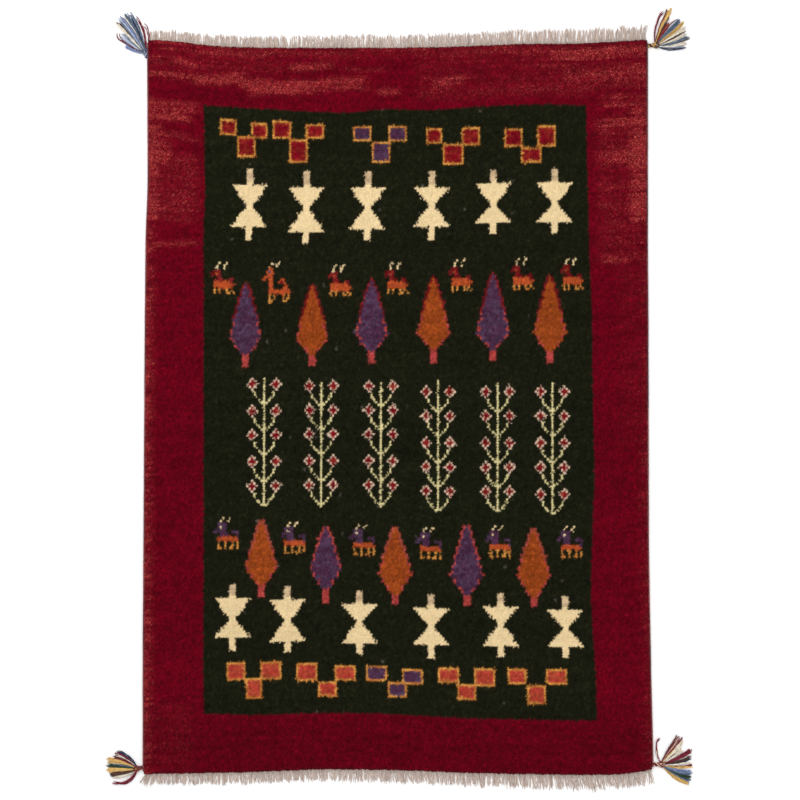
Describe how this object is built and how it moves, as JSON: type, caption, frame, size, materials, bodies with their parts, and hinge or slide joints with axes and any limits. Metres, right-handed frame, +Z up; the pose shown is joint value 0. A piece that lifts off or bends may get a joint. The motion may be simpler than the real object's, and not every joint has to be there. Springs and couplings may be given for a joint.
{
  "type": "gabbeh rug",
  "caption": "Small thick hand-knotted wool rug lying flat, with overcast side cords, a cut warp fringe at each end and a tassel of coloured yarns at each corner.",
  "frame": {"origin": "under the middle of the rug, on its underside, where it lies on the floor", "axes": "+Z up from the underside through the pile, +Y along the rug's length to the end shown at the top of the picture, +X across the rug to the right in the picture"},
  "size_m": [1.2227, 1.6316, 0.0126],
  "materials": {
    "pile_wool": "shorn knotted wool pile, crimson ground and dark green field",
    "cord_wool": "dark wool overcast over the outer warps",
    "warp_cotton": "undyed cotton warp ends",
    "tassel_wool": "plied wool yarns of several colours"
  },
  "bodies": {
    "root": {"rug_body": "pile_wool", "selvedge_left": "cord_wool", "selvedge_right": "cord_wool", "fringe_top": "warp_cotton", "fringe_bottom": "warp_cotton", "tassel_top_left": "tassel_wool", "tassel_top_right": "tassel_wool", "tassel_bottom_left": "tassel_wool", "tassel_bottom_right": "tassel_wool"}
  },
  "joints": []
}
